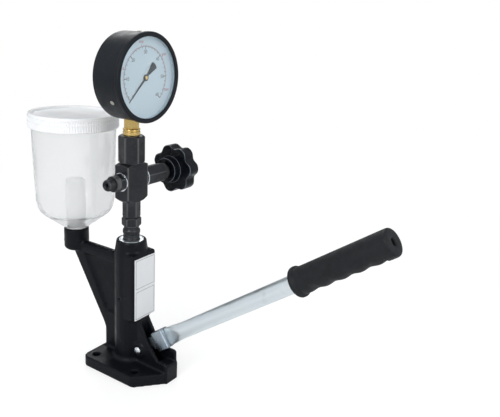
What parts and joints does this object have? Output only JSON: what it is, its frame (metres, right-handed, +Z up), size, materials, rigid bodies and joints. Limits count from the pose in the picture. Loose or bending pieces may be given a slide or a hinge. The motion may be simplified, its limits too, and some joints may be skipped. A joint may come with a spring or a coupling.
{
  "type": "diesel injector tester",
  "caption": "Bench tester for diesel injectors: a lever-worked hand pump in a cast stand, with a clear fuel tank, a shut-off valve and a dial pressure gauge.",
  "frame": {"origin": "underside of the base plate, under the pump's vertical axis", "axes": "+Z up along the pump's axis, +X the way the lever points and the gauge faces, +Y the side of the star knob"},
  "size_m": [0.4799, 0.1463, 0.4133],
  "materials": {
    "black_enamel": "glossy black enamel over a cast surface",
    "blacked_steel": "blacked and oiled machined steel",
    "zinc_plate": "bright zinc plate",
    "ground_steel": "ground and lapped",
    "spring_steel": "oiled spring wire",
    "brass": "bright turned brass",
    "bronze": "drawn phosphor bronze",
    "gauge_case_black": "satin black lacquer",
    "dial_enamel": "matt dial enamel with a plain number scale",
    "pointer_black": "matt black",
    "window_glass": "clear",
    "clear_plastic": "clear moulded plastic",
    "filter_plastic": "white mesh and plastic",
    "knob_plastic": "black moulded thermoset",
    "grip_rubber": "black moulded grip",
    "seal_rubber": "oil-proof seal",
    "label_plate": "satin white plate, bare panels"
  },
  "bodies": {
    "stand": {"main_casting": "black_enamel", "pump_barrel": "ground_steel", "valve_seat": "ground_steel", "gland_ring": "zinc_plate", "delivery_stem": "blacked_steel", "union_nut": "blacked_steel", "valve_block": "blacked_steel", "outlet_seal": "zinc_plate", "outlet_adapter": "blacked_steel", "outlet_nipple": "blacked_steel", "gland_seal": "zinc_plate", "needle_gland": "blacked_steel", "gland_packing": "seal_rubber", "gland_nut": "blacked_steel", "gauge_adapter": "blacked_steel", "gauge_socket": "brass", "gauge_case": "gauge_case_black", "bezel_ring": "gauge_case_black", "gauge_glass": "window_glass", "gauge_dial": "dial_enamel", "dial_spacer": "dial_enamel", "case_screw_1": "zinc_plate", "case_screw_2": "zinc_plate", "case_screw_3": "zinc_plate", "movement_frame": "brass", "bourdon_tube": "bronze", "bourdon_link": "brass", "tank_cup": "clear_plastic", "tank_seal": "seal_rubber", "tank_filter": "filter_plastic", "holder_plug": "blacked_steel", "label_plate": "label_plate", "pivot_pin": "zinc_plate", "pivot_nut": "zinc_plate"},
    "lever": {"lever_head": "zinc_plate", "lever_tube": "zinc_plate", "lever_grip": "grip_rubber"},
    "pump_plunger": {"tappet": "ground_steel", "plunger": "ground_steel", "plunger_spring": "spring_steel"},
    "check_valve": {"delivery_valve": "ground_steel", "delivery_spring": "spring_steel"},
    "needle": {"needle_spindle": "ground_steel"},
    "knob": {"star_knob": "knob_plastic", "knob_cap": "knob_plastic"},
    "pointer_shaft": {"pointer": "pointer_black", "pointer_cap": "pointer_black", "pointer_arbor": "ground_steel"},
    "sector": {"sector_gear": "brass"},
    "lid": {"tank_lid": "clear_plastic"}
  },
  "joints": [
    {"name": "lever_swing", "type": "hinge", "parent": "stand", "child": "lever", "pos_m": [0.023, 0, 0.0315], "axis": [0, 1, 0], "range_deg": [0, 20], "stiffness_Nm_per_rad": 1.83, "springref_deg": -29.79},
    {"name": "plunger_travel", "type": "slide", "parent": "stand", "child": "pump_plunger", "axis": [0, 0, 1], "range_m": [0, 0.00812], "deforming": ["plunger_spring"]},
    {"name": "delivery_valve_lift", "type": "slide", "parent": "stand", "child": "check_valve", "axis": [0, 0, 1], "range_m": [0, 0.0015], "stiffness_N_per_m": 300, "springref_m": -0.004, "deforming": ["delivery_spring"]},
    {"name": "needle_travel", "type": "slide", "parent": "stand", "child": "needle", "axis": [0, 1, 0], "range_m": [0, 0.00301]},
    {"name": "knob_turn", "type": "hinge", "parent": "needle", "child": "knob", "pos_m": [0, 0.078, 0.243], "axis": [0, 1, 0], "range_deg": [0, 720]},
    {"name": "pointer_turn", "type": "hinge", "parent": "stand", "child": "pointer_shaft", "pos_m": [0.021, 0, 0.363], "axis": [-1, 0, 0], "range_deg": [0, 270], "stiffness_Nm_per_rad": 0.0001, "springref_deg": -34.38},
    {"name": "sector_turn", "type": "hinge", "parent": "stand", "child": "sector", "pos_m": [0.01, 0, 0.344], "axis": [1, 0, 0], "range_deg": [0, 42]},
    {"name": "lid_lift", "type": "slide", "parent": "stand", "child": "lid", "axis": [0, 0, 1], "range_m": [0, 0.03]}
  ],
  "couplings": [
    {"joint": "plunger_travel", "follows": "lever_swing", "m_per_rad": 0.023236},
    {"joint": "needle_travel", "follows": "knob_turn", "m_per_rad": 0.00023873},
    {"joint": "sector_turn", "follows": "pointer_turn", "ratio": 0.15501}
  ]
}
